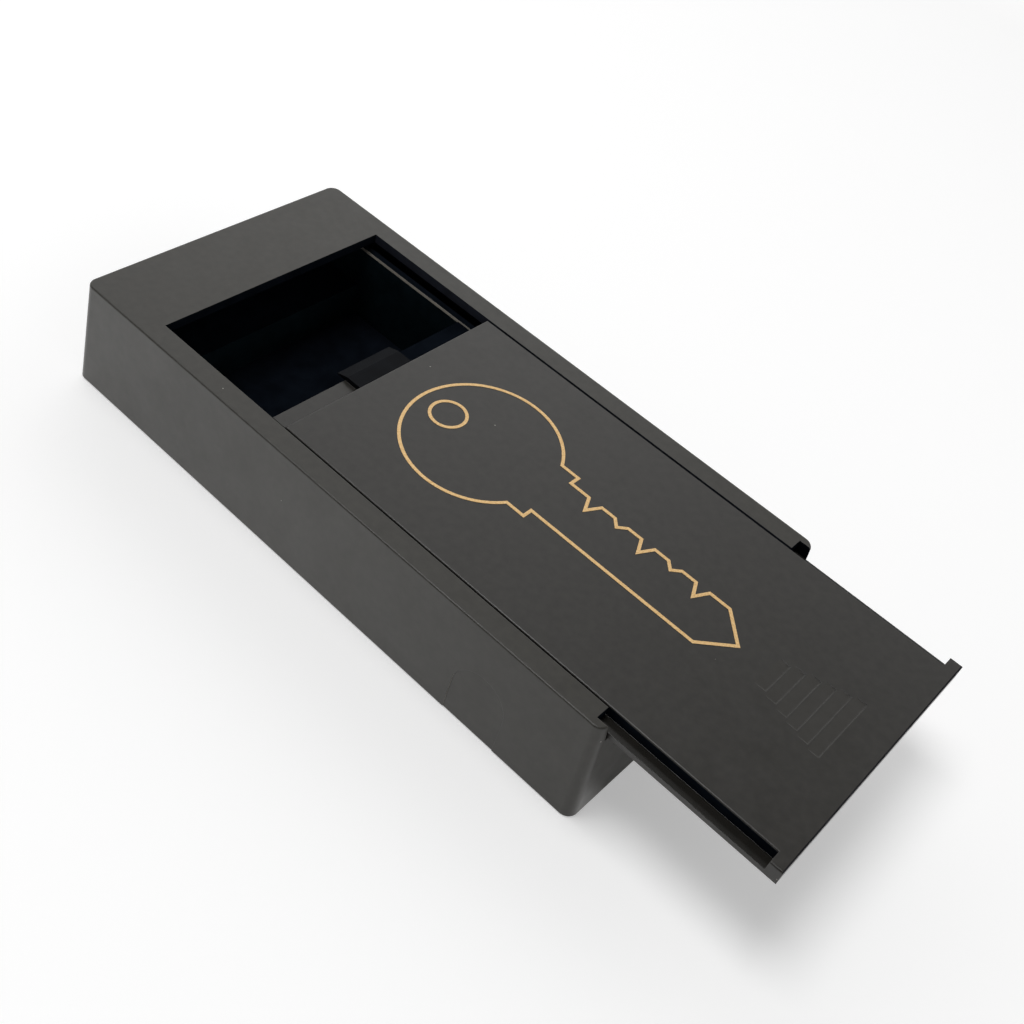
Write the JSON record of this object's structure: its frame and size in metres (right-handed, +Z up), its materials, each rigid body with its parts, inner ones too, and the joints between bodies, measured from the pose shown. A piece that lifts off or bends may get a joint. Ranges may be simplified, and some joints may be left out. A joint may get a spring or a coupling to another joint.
{
  "type": "magnetic key holder box",
  "caption": "Flat black plastic key box that clings to steel by magnets in its base, with a lid that slides out lengthwise and a gold key outline on it.",
  "frame": {"origin": "the middle of the case's base, on the face that the magnets hold against steel; the lid isn't counted", "axes": "+X along the case, towards the end that the lid slides out of; +Z up out of the base, through the lid; +Y to the right when the box is looked at from its front end, so the arch is in the left wall, at -Y"},
  "size_m": [0.1399, 0.056, 0.0195],
  "materials": {
    "case_plastic": "satin black moulded ABS with a very fine grain",
    "tray_plastic": "plain black moulded ABS",
    "lid_plastic": "satin black moulded ABS",
    "gold_print": "pad-printed pale gold ink",
    "magnet_ferrite": "sintered ferrite with ground faces",
    "keeper_steel": "zinc-plated mild steel strip",
    "pad_foam": "double-sided foam tape"
  },
  "bodies": {
    "case": {"case_shell": "case_plastic", "base_tray": "tray_plastic", "rear_magnet": "magnet_ferrite", "front_magnet": "magnet_ferrite", "rear_keeper_plate": "keeper_steel", "front_keeper_plate": "keeper_steel", "rear_adhesive_pad": "pad_foam", "front_adhesive_pad": "pad_foam"},
    "lid": {"sliding_lid": "lid_plastic", "key_outline": "gold_print"}
  },
  "joints": [
    {"name": "lid_slide", "type": "slide", "parent": "case", "child": "lid", "axis": [1, 0, 0], "range_m": [-0.0278, 0.0605]}
  ]
}
